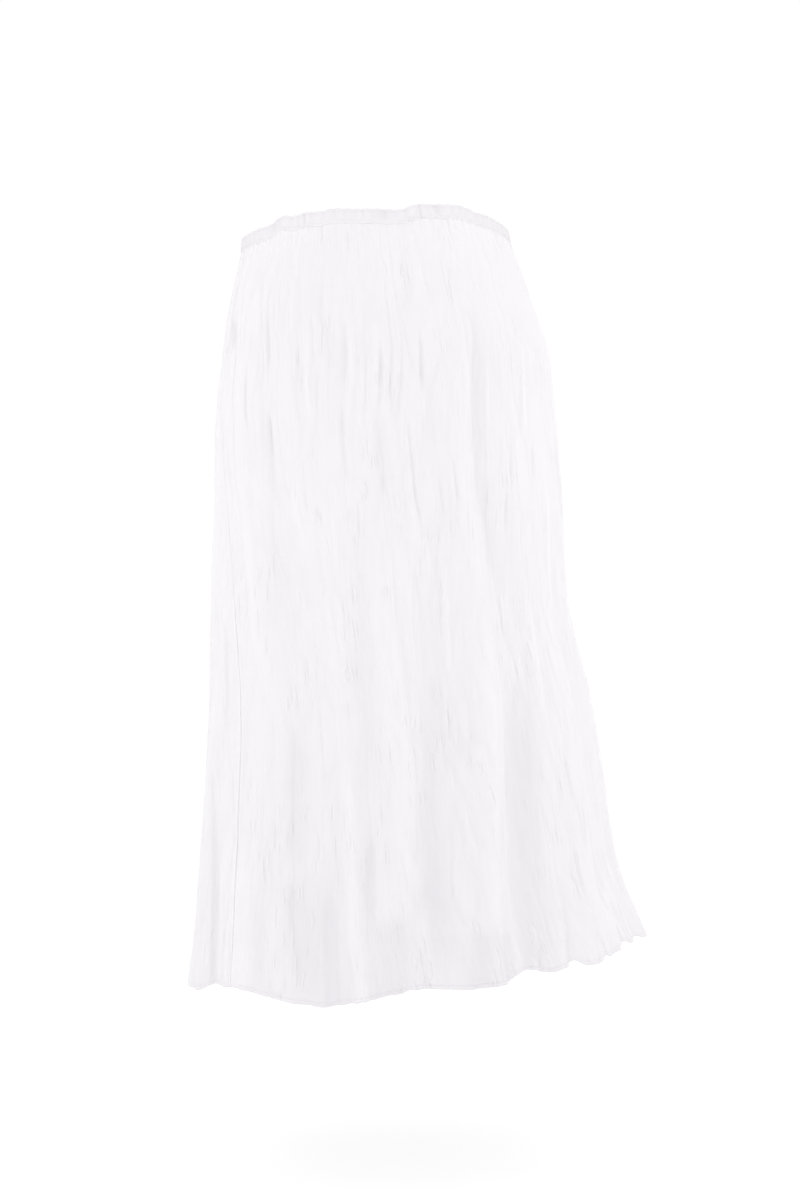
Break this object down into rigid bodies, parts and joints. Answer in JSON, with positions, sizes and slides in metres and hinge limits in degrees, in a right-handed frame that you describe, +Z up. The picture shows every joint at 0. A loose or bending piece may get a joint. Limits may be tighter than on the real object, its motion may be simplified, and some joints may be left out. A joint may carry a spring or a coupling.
{
  "type": "crinkled maxi skirt worn on an unseen figure",
  "caption": "White crinkle-pleated cotton gauze maxi skirt with a narrow gathered elastic waist, hollow and open at waist and hem, hanging in soft flutes as worn.",
  "frame": {"origin": "the middle of the waist's top edge, where the wearer's hips hold the skirt", "axes": "+Z up, towards the wearer's head; -Y towards the front; +X towards the wearer's left side. The skirt hangs down from the origin and leans a little to +X at the hem"},
  "size_m": [0.5727, 0.4275, 0.9067],
  "materials": {
    "skirt_cloth": "matt crinkled white cotton gauze, a little see-through",
    "waist_casing": "matt white cotton gauze, doubled and gathered over elastic"
  },
  "bodies": {
    "root": {"waistband": "waist_casing", "front_panel": "skirt_cloth", "back_panel": "skirt_cloth"}
  },
  "joints": []
}
